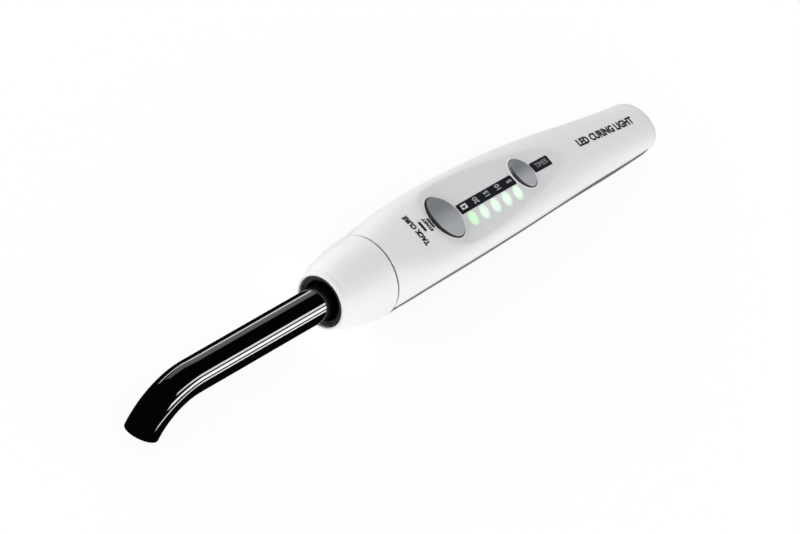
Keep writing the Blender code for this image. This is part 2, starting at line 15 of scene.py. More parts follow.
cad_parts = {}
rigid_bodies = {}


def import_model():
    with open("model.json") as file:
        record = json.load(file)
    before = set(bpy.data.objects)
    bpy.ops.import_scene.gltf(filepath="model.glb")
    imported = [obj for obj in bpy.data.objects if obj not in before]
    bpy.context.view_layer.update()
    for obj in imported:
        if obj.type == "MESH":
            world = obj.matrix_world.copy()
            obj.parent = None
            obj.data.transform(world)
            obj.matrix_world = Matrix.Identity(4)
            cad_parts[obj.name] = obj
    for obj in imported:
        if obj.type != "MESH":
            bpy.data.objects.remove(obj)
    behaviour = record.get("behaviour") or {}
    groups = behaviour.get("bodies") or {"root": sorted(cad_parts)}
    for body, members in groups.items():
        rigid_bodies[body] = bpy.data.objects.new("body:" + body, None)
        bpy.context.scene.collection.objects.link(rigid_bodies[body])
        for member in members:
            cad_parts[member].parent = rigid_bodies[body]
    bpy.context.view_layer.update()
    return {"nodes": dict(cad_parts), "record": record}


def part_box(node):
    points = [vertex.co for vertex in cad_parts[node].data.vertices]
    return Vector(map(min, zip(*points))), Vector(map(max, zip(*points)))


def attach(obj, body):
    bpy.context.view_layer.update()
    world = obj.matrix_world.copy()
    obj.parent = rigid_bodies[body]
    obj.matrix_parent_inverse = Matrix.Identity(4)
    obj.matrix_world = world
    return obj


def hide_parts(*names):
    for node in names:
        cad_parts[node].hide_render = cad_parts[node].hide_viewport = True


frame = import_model()

MM = 0.001
SOCKET_LOW, SOCKET_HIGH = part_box("socket_insert")
ORIGIN = Vector((SOCKET_LOW.x, 0, (SOCKET_LOW.z + SOCKET_HIGH.z) / 2))

# Light guide
GUIDE_R = 5.45
GUIDE_PLUG_X = 14.0
GUIDE_STRAIGHT_X = -58.0
GUIDE_BEND_R = 20.4
GUIDE_BEND = math.radians(66.5)
GUIDE_REST_TURN = math.radians(18.5)
CORE_R = 4.5

# Nose
SEAM_X = 19.9
SEAM_R = 13.35

# Handpiece
BODY_START_X = 20.2
BODY_END_X = 160.0
CAP_START_X = 152.0
CAP_POWER = 2.3
WALL = 1.7
BELLY_Z = -14.6
PARTING_GAP = 0.12
EDGE_ROUND = 0.3

# Control panel
PANEL_FRONT_X = 42.0
PANEL_WIDEST_X = 55.5
PANEL_REAR_X = 107.0
PANEL_HALF_WIDTH = 11.4
PANEL_Z = 10.7
PANEL_DROP_START_X = 72.0
PANEL_DROP_R = 520.0
PANEL_RAMP = 0.75
PANEL_RIM_X = 40.0
PANEL_SCOOP = 1.75
PANEL_SCOOP_LENGTH = 5.0
PANEL_SOFTNESS = 0.35

# Controls
START_X = 50.1
START_AXES = (5.3, 8.1)
START_TOP = (12.4, 12.95)
TIMER_X = 87.7
TIMER_AXES = (3.9, 5.8)
TIMER_TOP = (11.7, 12.05)
BUTTON_GAP = 0.25
BUTTON_FLARE = 0.5
BUTTON_CROWN = 0.8
BUTTON_LEAN = 0.2
INDICATOR_X = 59.3
INDICATOR_PITCH = 5.33
INDICATOR_Y = -4.4
INDICATOR_COUNT = 5
STRIP_X = (56.8, 82.9)
LABEL_X = (92.4, 100.8)
STRIP_WIDTH = 3.4
STRIP_GAP = 0.12
ICON_PLACE = (59.4, 0.2)

# Underside
SCREW_XS = {"front": 108.0, "rear": 146.5}
CONTACT_XS = {"front": 122.0, "rear": 133.0}

# Handpiece stations: x, half width, height of the widest line, crown height, squareness above and
# below the widest line, and how far below the widest line the casings part
STATIONS = (
    (20, 13.35, 0.0, 13.35, 2.0, 2.0, 0.0),
    (30, 13.85, 3.3, 13.1, 2.2, 2.0, 0.8),
    (42, 14.1, 5.8, 12.7, 2.5, 2.0, 1.8),
    (56, 14.05, 6.4, 12.5, 2.6, 2.0, 1.95),
    (72, 13.6, 5.9, 12.1, 2.6, 2.0, 1.95),
    (88, 12.95, 4.9, 11.3, 2.5, 2.0, 1.6),
    (100, 12.2, 3.3, 10.4, 2.4, 2.0, 1.1),
    (112, 11.35, 1.2, 8.8, 2.3, 2.1, 0.65),
    (124, 10.5, -1.1, 6.4, 2.2, 2.3, 0.35),
    (136, 9.8, -3.1, 3.8, 2.1, 2.5, 0.3),
    (148, 9.1, -4.6, 1.3, 2.1, 2.5, 0.3),
    (160, 8.4, -5.6, -0.8, 2.1, 2.5, 0.3),
)
BELLY_CURVE_DEPTH = 3.2
BELLY_FLAT_X = 30.0
# How far the lower casing sits inside the upper one at their parting line
LOWER_STEP = 0.25

# Printing: half its thickness, and the longest edge that still follows the surface
PRINT_DEPTH = 0.04
PRINT_EDGE = 0.5

# Camera: a long lens, looking down the handpiece from its nose
CAMERA_PLACE = (-1.066375, -0.35499, 1.18772)
CAMERA_RIGHT = (0.64734, -0.64350, 0.40848)
CAMERA_UP = (0.37467, 0.73536, 0.56469)
CAMERA_LENS = 247.1


# ---------------------------------------------------------------- materials


class Nodes:
    """A short way to write a node tree."""

    def __init__(self, tree):
        self.tree = tree

    def add(self, kind, **settings):
        node = self.tree.nodes.new("ShaderNode" + kind)
        for name, value in settings.items():
            setattr(node, name, value)
        return node

    def link(self, value, socket):
        """Joins an output to an input, or sets the input to a plain value."""
        if isinstance(value, bpy.types.NodeSocket):
            self.tree.links.new(value, socket)
        else:
            socket.default_value = value

    def math(self, operation, *values):
        node = self.add("Math", operation=operation)
        for value, socket in zip(values, node.inputs):
            self.link(value, socket)
        return node.outputs[0]

    def noise(self, scale, detail=2.0, vector=None, stretch=None):
        """Noise with features of about 1 / scale metres, in the object's own coordinates."""
        node = self.add("TexNoise")
        node.inputs["Scale"].default_value = scale
        node.inputs["Detail"].default_value = detail
        vector = vector or self.add("TexCoord").outputs["Object"]
        if stretch:
            mapping = self.add("Mapping")
            mapping.inputs["Scale"].default_value = stretch
            self.link(vector, mapping.inputs["Vector"])
            vector = mapping.outputs["Vector"]
        self.link(vector, node.inputs["Vector"])
        return node.outputs["Fac"]

    def ramp(self, value, low, high, out_low=0.0, out_high=1.0, smooth=False):
        node = self.add("MapRange")
        if smooth:
            node.interpolation_type = "SMOOTHSTEP"
        for socket, item in zip(node.inputs, (value, low, high, out_low, out_high)):
            self.link(item, socket)
        return node.outputs[0]

    def mix(self, factor, first, second):
        """A colour between first and second."""
        node = self.add("Mix", data_type="RGBA")
        self.link(factor, node.inputs["Factor"])
        for socket, value in ((node.inputs[6], first), (node.inputs[7], second)):
            self.link((*value, 1) if isinstance(value, tuple) else value, socket)
        return node.outputs[2]

    def bump(self, height, distance, strength=1.0, normal=None):
        node = self.add("Bump")
        node.inputs["Strength"].default_value = strength
        node.inputs["Distance"].default_value = distance
        self.link(height, node.inputs["Height"])
        if normal:
            self.link(normal, node.inputs["Normal"])
        return node.outputs["Normal"]


def new_material(name):
    """(material, its node helper, its Principled shader)."""
    material = bpy.data.materials.new(name)
    material.use_nodes = True
    return material, Nodes(material.node_tree), material.node_tree.nodes["Principled BSDF"]


def moulded(name, colour, roughness, grain=0.000004, grain_scale=9000, drift=0.015):
    """Moulded plastic: a faint drift of colour, an uneven sheen and a fine spark-eroded grain."""
    material, nodes, shader = new_material(name)
    darker = tuple(c * (1 - drift * 2) for c in colour)
    nodes.link(nodes.mix(nodes.noise(45, 3), darker, colour), shader.inputs["Base Color"])
    sheen = nodes.ramp(nodes.noise(220, 3), 0.3, 0.7, roughness - 0.04, roughness + 0.04)
    nodes.link(sheen, shader.inputs["Roughness"])
    nodes.link(nodes.bump(nodes.noise(grain_scale, 2), grain), shader.inputs["Normal"])
    return material


def casing_white():
    """White satin plastic: greyer in the panel, with five lights that glow through it, each ringed by a
    painted green glow.
    """
    material, nodes, shader = new_material("casing_white")
    place = nodes.add("SeparateXYZ")
    nodes.link(nodes.add("TexCoord").outputs["Object"], place.inputs[0])
    x, y = place.outputs[0], place.outputs[1]
    base = nodes.mix(nodes.noise(40, 3), (0.86, 0.86, 0.86), (0.885, 0.885, 0.885))
    panel = nodes.add("Attribute", attribute_name="panel").outputs["Fac"]
    base = nodes.mix(panel, base, (0.80, 0.80, 0.805))

    first_x = (ORIGIN.x + INDICATOR_X * MM)
    step = nodes.math("DIVIDE", nodes.math("SUBTRACT", x, first_x), INDICATOR_PITCH * MM)
    cell = nodes.math("MINIMUM", nodes.math("MAXIMUM", nodes.math("ROUND", step), 0.0), INDICATOR_COUNT - 1.0)
    across = nodes.math("DIVIDE", nodes.math("SUBTRACT", y, INDICATOR_Y * MM), 2.75 * MM)
    along = nodes.math("MULTIPLY", nodes.math("SUBTRACT", step, cell), INDICATOR_PITCH / 1.95)
    along = nodes.math("ADD", along, nodes.math("MULTIPLY", across, -0.35))
    reach = nodes.math("SQRT", nodes.math("ADD", nodes.math("MULTIPLY", along, along),
                                          nodes.math("MULTIPLY", across, across)))
    up = nodes.add("NewGeometry").outputs["Normal"]
    facing = nodes.add("SeparateXYZ")
    nodes.link(up, facing.inputs[0])
    top_side = nodes.math("GREATER_THAN", facing.outputs[2], 0.5)
    core = nodes.math("MULTIPLY", nodes.ramp(reach, 0.5, 1.2, 1.0, 0.0, smooth=True), top_side)
    # A painted glow: the casing's own colour turns darker green round each light.
    painted_glow = nodes.math("MULTIPLY", nodes.ramp(reach, 0.9, 1.9, 1.0, 0.0, smooth=True), top_side)
    greener = nodes.ramp(cell, 0.0, 1.0, 1.0, 0.0)
    tint = nodes.mix(greener, (0.80, 1.0, 0.82), (0.56, 1.0, 0.55))
    # The painted glow is mixed into the base colour here.
    base = nodes.mix(nodes.math("MULTIPLY", painted_glow, 0.35), base, (0.66, 0.73, 0.67))
    nodes.link(nodes.mix(core, base, (0.35, 0.42, 0.36)), shader.inputs["Base Color"])
    nodes.link(tint, shader.inputs["Emission Color"])
    nodes.link(nodes.math("MULTIPLY", core, 0.72), shader.inputs["Emission Strength"])

    nodes.link(nodes.ramp(nodes.noise(200, 3), 0.3, 0.7, 0.34, 0.42), shader.inputs["Roughness"])
    nodes.link(nodes.bump(nodes.noise(7000, 2), 0.000003), shader.inputs["Normal"])
    shader.inputs["IOR"].default_value = 1.48
    return material


def button_grey():
    """Grey button plastic with a fine matt grain, with painted shade: its side wall is painted near black,
    and its face is darker where it turns towards +Y.
    """
    material, nodes, shader = new_material("button_grey")
    facing = nodes.add("SeparateXYZ")
    nodes.link(nodes.add("NewGeometry").outputs["Normal"], facing.inputs[0])
    # Painted shade: the sideways-facing side wall is painted near black.
    face = nodes.ramp(facing.outputs[2], 0.25, 0.75, 0.0, 1.0, smooth=True)
    # near is the face's lit colour; far is its painted shade on the side turned towards +Y.
    near = nodes.mix(nodes.noise(300, 4), (0.43, 0.445, 0.47), (0.47, 0.485, 0.51))
    far = nodes.mix(nodes.noise(300, 4), (0.2, 0.21, 0.225), (0.23, 0.24, 0.255))
    painted_shade_side = nodes.ramp(facing.outputs[1], -0.2, 0.2, 0.0, 1.0, smooth=True)
    nodes.link(nodes.mix(face, (0.03, 0.032, 0.036), nodes.mix(painted_shade_side, near, far)), shader.inputs["Base Color"])
    nodes.link(nodes.ramp(nodes.noise(900, 3), 0.3, 0.7, 0.42, 0.52), shader.inputs["Roughness"])
    nodes.link(nodes.bump(nodes.noise(6500, 3), 0.00001), shader.inputs["Normal"])
    return material


def guide_black():
    """Glossy black jacket with faint polishing marks."""
    material, nodes, shader = new_material("guide_black")
    colour = nodes.mix(nodes.noise(120, 2), (0.0012, 0.0012, 0.0015), (0.0022, 0.0022, 0.0026))
    nodes.link(colour, shader.inputs["Base Color"])
    nodes.link(nodes.ramp(nodes.noise(350, 4), 0.3, 0.7, 0.035, 0.06), shader.inputs["Roughness"])
    nodes.link(nodes.bump(nodes.noise(90, 1), 0.00001, 0.2), shader.inputs["Normal"])
    shader.inputs["IOR"].default_value = 1.5
    return material


def fibre_glass():
    """The polished face of a fused fibre rod: thousands of fine cells in clear, slightly amber glass."""
    material, nodes, shader = new_material("guide_glass")
    cells = nodes.add("TexVoronoi", feature="DISTANCE_TO_EDGE")
    cells.inputs["Scale"].default_value = 9000
    nodes.link(nodes.add("TexCoord").outputs["Object"], cells.inputs["Vector"])
    edge = nodes.ramp(cells.outputs["Distance"], 0.0, 0.12)
    nodes.link(nodes.mix(edge, (0.05, 0.045, 0.03), (0.33, 0.31, 0.26)), shader.inputs["Base Color"])
    shader.inputs["Roughness"].default_value = 0.12
    shader.inputs["Coat Weight"].default_value = 0.6
    shader.inputs["Coat Roughness"].default_value = 0.03
    return material


def metal(name, colour, roughness, stretch=(1, 1, 1), grain_scale=2500):
    """Bare or plated metal with fine tool marks along one direction."""
    material, nodes, shader = new_material(name)
    marks = nodes.noise(grain_scale, 3, stretch=stretch)
    darker = tuple(c * 0.86 for c in colour)
    nodes.link(nodes.mix(marks, darker, colour), shader.inputs["Base Color"])
    shader.inputs["Metallic"].default_value = 1.0
    nodes.link(nodes.ramp(marks, 0.3, 0.7, roughness - 0.07, roughness + 0.07), shader.inputs["Roughness"])
    nodes.link(nodes.bump(marks, 0.000004), shader.inputs["Normal"])
    return material


def circuit_board():
    """Green solder mask with copper tracks showing through as paler lines and pads."""
    material, nodes, shader = new_material("board_green")
    tracks = nodes.add("TexBrick", offset=0.5)
    tracks.inputs["Scale"].default_value = 260
    tracks.inputs["Mortar Size"].default_value = 0.04
    nodes.link(nodes.add("TexCoord").outputs["Object"], tracks.inputs["Vector"])
    pads = nodes.ramp(nodes.noise(900, 1), 0.62, 0.66)
    green = nodes.mix(tracks.outputs["Fac"], (0.012, 0.11, 0.045), (0.03, 0.2, 0.09))
    nodes.link(nodes.mix(pads, green, (0.55, 0.5, 0.32)), shader.inputs["Base Color"])
    nodes.link(nodes.ramp(pads, 0.0, 1.0, 0.4, 0.25), shader.inputs["Roughness"])
    return material


def printed(name, colour, roughness=0.5):
    """Printing ink with slightly uneven cover."""
    material, nodes, shader = new_material(name)
    paler = tuple(c * 0.8 + 0.02 for c in colour)
    nodes.link(nodes.mix(nodes.noise(4000, 2), colour, paler), shader.inputs["Base Color"])
    shader.inputs["Roughness"].default_value = roughness
    shader.inputs["Specular IOR Level"].default_value = 0.15
    return material


def strip_film():
    """Blue-black display film with a soft sheen."""
    material, nodes, shader = new_material("strip_black")
    colour = nodes.mix(nodes.noise(1500, 3), (0.010, 0.011, 0.018), (0.020, 0.022, 0.032))
    nodes.link(colour, shader.inputs["Base Color"])
    nodes.link(nodes.ramp(nodes.noise(600, 2), 0.3, 0.7, 0.3, 0.42), shader.inputs["Roughness"])
    return material


def glowing(name, colour, strength):
    """A small lamp: a frosted lens lit from inside, with a faint mottle."""
    material, nodes, shader = new_material(name)
    mottle = nodes.noise(1800, 2)
    nodes.link(nodes.mix(mottle, tuple(c * 0.8 for c in colour), colour), shader.inputs["Base Color"])
    nodes.link(nodes.mix(mottle, colour, tuple(c * 0.9 for c in colour)), shader.inputs["Emission Color"])
    shader.inputs["Emission Strength"].default_value = strength
    shader.inputs["Roughness"].default_value = 0.4
    return material


def shrink_sleeve():
    """Blue cell sleeve with faint stretch bands round the cell."""
    material, nodes, shader = new_material("cell_blue")
    bands = nodes.noise(900, 2, stretch=(1, 0.1, 0.1))
    nodes.link(nodes.mix(bands, (0.03, 0.09, 0.28), (0.06, 0.15, 0.4)), shader.inputs["Base Color"])
    shader.inputs["Roughness"].default_value = 0.3
    return material


def make_materials():
    return {
        "casing_white": casing_white(),
        "casing_grey": moulded("casing_grey", (0.165, 0.168, 0.172), 0.45),
        "button_grey": button_grey(),
        "socket_black": moulded("socket_black", (0.045, 0.047, 0.052), 0.36, drift=0.1),
        "seat_black": moulded("seat_black", (0.004, 0.004, 0.005), 0.8, drift=0.1),
        "guide_black": guide_black(),
        "guide_glass": fibre_glass(),
        "rubber_dark": moulded("rubber_dark", (0.022, 0.022, 0.022), 0.75, 0.00001, 4000, 0.1),
        "steel": metal("steel", (0.62, 0.62, 0.64), 0.28, (1, 8, 8)),
        "aluminium": metal("aluminium", (0.78, 0.79, 0.8), 0.34, (6, 1, 1)),
        "gold_contact": metal("gold_contact", (0.86, 0.64, 0.27), 0.24),
        "board_green": circuit_board(),
        "strip_black": strip_film(),
        "indicator_green": glowing("indicator_green", (0.6, 1.0, 0.6), 2.0),
        "emitter_yellow": moulded("emitter_yellow", (0.85, 0.72, 0.16), 0.3, drift=0.08),
        "cell_blue": shrink_sleeve(),
    }


# ---------------------------------------------------------------- mesh helpers


def add_piece(name, bm, material, body, replaced=(), sharp=35):
    """Makes a piece from a mesh in design millimetres and fixes it to a CAD body."""
    bmesh.ops.remove_doubles(bm, verts=bm.verts, dist=1e-5)
    bmesh.ops.recalc_face_normals(bm, faces=bm.faces)
    bm.transform(Matrix.Translation(ORIGIN) @ Matrix.Scale(MM, 4))
    mesh = bpy.data.meshes.new(name)
    bm.to_mesh(mesh)
    bm.free()
    mesh.shade_smooth()
    mesh.set_sharp_from_angle(angle=math.radians(sharp))
    piece = bpy.data.objects.new(name, mesh)
    bpy.context.scene.collection.objects.link(piece)
    mesh.materials.append(MATERIALS[material] if isinstance(material, str) else material)
    if replaced:
        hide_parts(*replaced)
    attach(piece, body)
    return piece


def ring_strip(bm, first, second):
    count = len(first)
    for i in range(count):
        j = (i + 1) % count
        bm.faces.new((first[i], first[j], second[j], second[i]))


def loft(bm, rings, ends=True, loop=False):
    """Joins rings of points. ends closes the first and last ring, loop joins the last to the first."""
    made = [[bm.verts.new(point) for point in ring] for ring in rings]
    for first, second in zip(made, made[1:]):
        ring_strip(bm, first, second)
    if loop:
        ring_strip(bm, made[-1], made[0])
    elif ends:
        bm.faces.new(made[0][::-1])
        bm.faces.new(made[-1])


def turned_rings(profile, steps, centre=(0, 0)):
    """Rings about the light guide's axis, or one moved by centre (y, z), for (x, radius) points."""
    turn = [math.tau * i / steps for i in range(steps)]
    cy, cz = centre
    return [[(x, cy + r * math.sin(a), cz + r * math.cos(a)) for a in turn] for x, r in profile]


def turned(name, material, body, profile, replaced=(), steps=128, loop=True, sharp=35):
    bm = bmesh.new()
    loft(bm, turned_rings(profile, steps), loop=loop)
    return add_piece(name, bm, material, body, replaced, sharp)


def upright_rings(profile, steps, place):
    """Level rings round (x, y) for (radius, height) points."""
    turn = [math.tau * i / steps for i in range(steps)]
    return [[(place[0] + r * math.cos(a), place[1] + r * math.sin(a), z) for a in turn] for r, z in profile]


def oval(rx, ry, z, x, steps):
    turn = [math.tau * (i + 0.5) / steps for i in range(steps)]
    return [(x + rx * math.cos(a), ry * math.sin(a), z) for a in turn]


def arc(centre, radius, start, end, steps):
    """Points of an arc in a profile, with its angles in degrees."""
    angles = [math.radians(start + (end - start) * i / steps) for i in range(steps + 1)]
    return [(centre[0] + radius * math.cos(a), centre[1] + radius * math.sin(a)) for a in angles]


def curve_through(points, per_span):
    """A smooth curve through a row of (x, radius) points."""
    last = len(points) - 1
    found = []
    for i in range(last):
        p0, p1, p2, p3 = (Vector(points[min(max(j, 0), last)]) for j in range(i - 1, i + 3))
        for k in range(per_span):
            t = k / per_span
            at = 0.5 * (2 * p1 + (p2 - p0) * t + (2 * p0 - 5 * p1 + 4 * p2 - p3) * t**2
                        + (3 * p1 - p0 - 3 * p2 + p3) * t**3)
            found.append((at.x, at.y))
    found.append(tuple(points[-1]))
    return found


def cut_away(piece, bm):
    """Cuts closed bodies, given in design millimetres, out of a piece."""
    bmesh.ops.recalc_face_normals(bm, faces=bm.faces)
    bm.transform(Matrix.Translation(ORIGIN) @ Matrix.Scale(MM, 4))
    mesh = bpy.data.meshes.new("cutter")
    bm.to_mesh(mesh)
    bm.free()
    tool = bpy.data.objects.new("cutter", mesh)
    bpy.context.scene.collection.objects.link(tool)
    modifier = piece.modifiers.new("cut", "BOOLEAN")
    modifier.operation = "DIFFERENCE"
    modifier.object = tool
    bpy.context.view_layer.update()
    graph = bpy.context.evaluated_depsgraph_get()
    made = bpy.data.meshes.new_from_object(piece.evaluated_get(graph))
    piece.modifiers.clear()
    piece.data = made
    made.set_sharp_from_angle(angle=math.radians(35))
    bpy.data.objects.remove(tool)


# ---------------------------------------------------------------- handpiece shape


def station(x):
    """The values of the handpiece's section at x, on a smooth curve through the stations."""
    last = len(STATIONS) - 1
    i = 0
    while i < last - 1 and STATIONS[i + 1][0] <= x:
        i += 1
    before, start, end, after = (STATIONS[min(max(j, 0), last)] for j in range(i - 1, i + 3))
    length = end[0] - start[0]
    t = (x - start[0]) / length
    values = []
    for column in range(1, len(start)):
        slope_in = (end[column] - before[column]) / (end[0] - before[0])
        slope_out = (after[column] - start[column]) / (after[0] - start[0])
        values.append(
            (2 * t**3 - 3 * t**2 + 1) * start[column] + (3 * t**2 - 2 * t**3) * end[column]
            + (t**3 - 2 * t**2 + t) * slope_in * length + (t**3 - t**2) * slope_out * length
        )
    return values


def smooth_step(low, high, value):
    """0 below low, 1 above high, and a smooth change between them."""
    t = min(max((value - low) / (high - low), 0), 1)
    return t * t * (3 - 2 * t)


def panel_floor(x, y):
    """Height of the control panel: scooped at its front, then level, then falling gently to the rear."""
    height = PANEL_Z - max(x - PANEL_DROP_START_X, 0) ** 2 / (2 * PANEL_DROP_R)
    if x >= PANEL_WIDEST_X:
        return height
    u = (PANEL_WIDEST_X - x) / (PANEL_WIDEST_X - PANEL_RIM_X)
    reach = max(math.hypot(u, y / PANEL_HALF_WIDTH), 1e-6)
    outside = (reach - 1) * PANEL_HALF_WIDTH
    beyond = 0.5 * (outside + math.sqrt(outside * outside + 0.25))
    scoop = PANEL_SCOOP * (1 - smooth_step(0, PANEL_SCOOP_LENGTH, -outside)) * (u / reach) ** 2
    return height + scoop + PANEL_RAMP * beyond


def soft_min(a, b, softness):
    """The lower of two heights, with their meeting line rounded."""
    return 0.5 * (a + b - math.sqrt((a - b) ** 2 + softness**2))


def cap_scale(x, end_x):
    """1 along the handpiece, falling to 0 at its rounded rear end."""
    u = min(max((x - CAP_START_X) / (end_x - CAP_START_X), 0), 1)
    return (1 - u**CAP_POWER) ** (1 / CAP_POWER)


def section(x, inset):
    """Half width, widest height, rise, drop and squareness up and down of the section, moved in by inset."""
    half_width, widest_z, crown_z, square_up, square_down, _ = station(x)
    bottom_z = -SEAM_R - BELLY_CURVE_DEPTH * smooth_step(BODY_START_X, BELLY_FLAT_X, x)
    rise, drop = crown_z - widest_z - inset, widest_z - bottom_z - inset
    return half_width - inset, widest_z, rise, drop, square_up, square_down


def section_point(x, angle, inset):
    """(y, z) at an angle that runs from the far side (0) over the crown (pi / 2)."""
    half_width, widest_z, rise, drop, square_up, square_down = section(x, inset)
    across, up = math.cos(angle), math.sin(angle)
    power, height = (square_up, rise) if up >= 0 else (square_down, drop)
    y = half_width * math.copysign(abs(across) ** (2 / power), across)
    z = widest_z + height * math.copysign(abs(up) ** (2 / power), up)
    if up > 0:
        z = soft_min(z, panel_floor(x, y) - inset, PANEL_SOFTNESS)
    else:
        z = -soft_min(-z, -(BELLY_Z + inset), 0.1)
        z = max(z, BELLY_Z + inset)
    return y, z


def angle_at(x, z, inset):
    """The angle at which the section reaches a height on its far side."""
    _, widest_z, rise, drop, square_up, square_down = section(x, inset)
    if z >= widest_z:
        return math.asin(((z - widest_z) / rise) ** (square_up / 2))
    return -math.asin(((widest_z - z) / drop) ** (square_down / 2))


def parting_height(x):
    """Height of the line between the upper and lower casings."""
    _, widest_z, _, _, _, below = station(x)
    return widest_z - below


def rounding(distance):
    """How far an edge's surface falls back at a distance from the edge."""
    if distance >= EDGE_ROUND:
        return 0.0
    return EDGE_ROUND - math.sqrt(EDGE_ROUND**2 - (EDGE_ROUND - distance) ** 2)


def casing_point(x, share, inset, end_x, side):
    """Point on a casing: side is 1 above the parting line and -1 below, share runs across it."""
    edge_z = parting_height(x) + side * PARTING_GAP
    edge_angle = angle_at(x, edge_z, inset)
    angle = edge_angle + (math.pi - 2 * edge_angle) * share
    if side < 0:
        angle = edge_angle - (math.pi + 2 * edge_angle) * share
    y, z = section_point(x, angle, inset)
    if not inset:
        back = rounding(abs(z - edge_z)) if abs(y) > 3 else 0
        if side < 0:
            back += LOWER_STEP * smooth_step(BODY_START_X, BODY_START_X + 6, x) * smooth_step(3, 9, abs(y))
        y = math.copysign(abs(y) - back, y)
        narrowing = 1 - rounding(x - BODY_START_X) / SEAM_R
        y, z = y * narrowing, z * narrowing
    scale = cap_scale(x, end_x)
    return x, y * scale, edge_z + (z - edge_z) * scale


def crown_height(x, y):
    """Height of the handpiece's upper surface above a point of its plan."""
    half_width, widest_z, rise, _, power, _ = section(x, 0)
    z = widest_z + rise * (1 - (min(abs(y), half_width) / half_width) ** power) ** (1 / power)
    return soft_min(z, panel_floor(x, y), PANEL_SOFTNESS)


def panel_share(x, y):
    """1 well inside the control panel and 0 outside it."""
    half_width, widest_z, rise, _, power, _ = section(x, 0)
    z = widest_z + rise * (1 - (min(abs(y), half_width) / half_width) ** power) ** (1 / power)
    level = PANEL_Z - max(x - PANEL_DROP_START_X, 0) ** 2 / (2 * PANEL_DROP_R)
    ramp = smooth_step(0.3, 1.6, panel_floor(x, y) - level)
    return smooth_step(-0.15, 0.25, z - panel_floor(x, y)) * (1 - ramp)


def shell(name, material, side, columns, replaced):
    """A half shell of the handpiece: open at the front, closed by a dome at the rear."""
    edge_steps = (0, 0.04, 0.09, 0.16, 0.24, 0.35)
    xs = [BODY_START_X + step for step in edge_steps]
    x = BODY_START_X + 1
    while x < CAP_START_X - 0.5:
        xs.append(x)
        x += 0.35 if side > 0 and 37 < x < 47 else 0.9
    xs.append(CAP_START_X)
    cap_rows = 22
    angles = [math.pi / 2 * i / cap_rows for i in range(1, cap_rows)]
    caps = [math.sin(a) ** (2 / CAP_POWER) for a in angles]
    edge_shares = (0, 0.0015, 0.003, 0.005, 0.0075, 0.011, 0.016)
    middle = [0.022 + (1 - 0.044) * i / columns for i in range(columns + 1)]
    shares = list(edge_shares) + middle + [1 - s for s in reversed(edge_shares)]
    last = len(shares) - 1
    bm = bmesh.new()
    skins = []
    for inset, end_x in ((0.0, BODY_END_X), (WALL, BODY_END_X - WALL)):
        places = xs + [CAP_START_X + (end_x - CAP_START_X) * u for u in caps]
        grid = [[bm.verts.new(casing_point(x, s, inset, end_x, side)) for s in shares] for x in places]
        pole = bm.verts.new((end_x, 0, parting_height(end_x) + side * PARTING_GAP))
        skins.append((grid, pole))
        for low, high in zip(grid, grid[1:]):
            for i in range(last):
                bm.faces.new((low[i], low[i + 1], high[i + 1], high[i]))
        for i in range(last):
            bm.faces.new((grid[-1][i], grid[-1][i + 1], pole))
    (outer, outer_pole), (inner, inner_pole) = skins
    for i in range(last):
        bm.faces.new((outer[0][i], outer[0][i + 1], inner[0][i + 1], inner[0][i]))
    for column in (0, last):
        for low, high, deep_high, deep_low in zip(outer, outer[1:], inner[1:], inner):
            bm.faces.new((low[column], high[column], deep_high[column], deep_low[column]))
        bm.faces.new((outer[-1][column], outer_pole, inner_pole, inner[-1][column]))
    return add_piece(name, bm, material, "handpiece", replaced)


def mark_panel(piece):
    """Stores on each point how far it lies inside the control panel, for the material."""
    values = []
    for vertex in piece.data.vertices:
        x, y, z = (vertex.co - ORIGIN) / MM
        inside = PANEL_FRONT_X - 4 < x < PANEL_REAR_X + 4 and z > 5
        values.append(panel_share(x, y) if inside else 0.0)
    piece.data.attributes.new("panel", "FLOAT", "POINT").data.foreach_set("value", values)


def box_rings(x0, x1, half, z0, z1, corner=0.5, steps=6):
    """Two level rings of a rounded rectangle."""
    outline = []
    for sx, sy, start in ((1, 1, 0), (-1, 1, 90), (-1, -1, 180), (1, -1, 270)):
        cx = (x1 - corner) if sx > 0 else (x0 + corner)
        outline += arc((cx, sy * (half - corner)), corner, start, start + 90, steps)
    return [[(x, y, z) for x, y in outline] for z in (z0, z1)]


def upper_casing():
    piece = shell("upper_casing_skin", "casing_white", 1, 110, ["upper_casing"])
    bm = bmesh.new()
    for x, (rx, ry) in ((START_X, START_AXES), (TIMER_X, TIMER_AXES)):
        gap = BUTTON_GAP
        opening = [oval(rx + gap, ry - BUTTON_LEAN + gap, z, x, 120) for z in (5, 16)]
        loft(bm, [[(px, py + BUTTON_LEAN, pz) for px, py, pz in ring] for ring in opening])
    for x0, x1 in (STRIP_X, LABEL_X):
        bottom = panel_floor(x1, 0) - 0.6
        loft(bm, box_rings(x0 - STRIP_GAP, x1 + STRIP_GAP, STRIP_WIDTH / 2 + STRIP_GAP, bottom, 16))
    cut_away(piece, bm)
    mark_panel(piece)


def lower_casing():
    piece = shell("lower_casing_skin", "casing_grey", -1, 80, ["lower_casing"])
    bm = bmesh.new()
    for x in SCREW_XS.values():
        recess = [(2.9, -20), (2.9, BELLY_Z), (2.55, BELLY_Z + 0.35), (2.55, -11.4)]
        loft(bm, upright_rings(recess, 64, (x, 0)))
    for x in CONTACT_XS.values():
        recess = [(2.4, -20), (2.4, BELLY_Z), (2.05, BELLY_Z + 0.35), (2.05, -9)]
        loft(bm, upright_rings(recess, 64, (x, 0)))
    cut_away(piece, bm)


# ---------------------------------------------------------------- nose and light guide


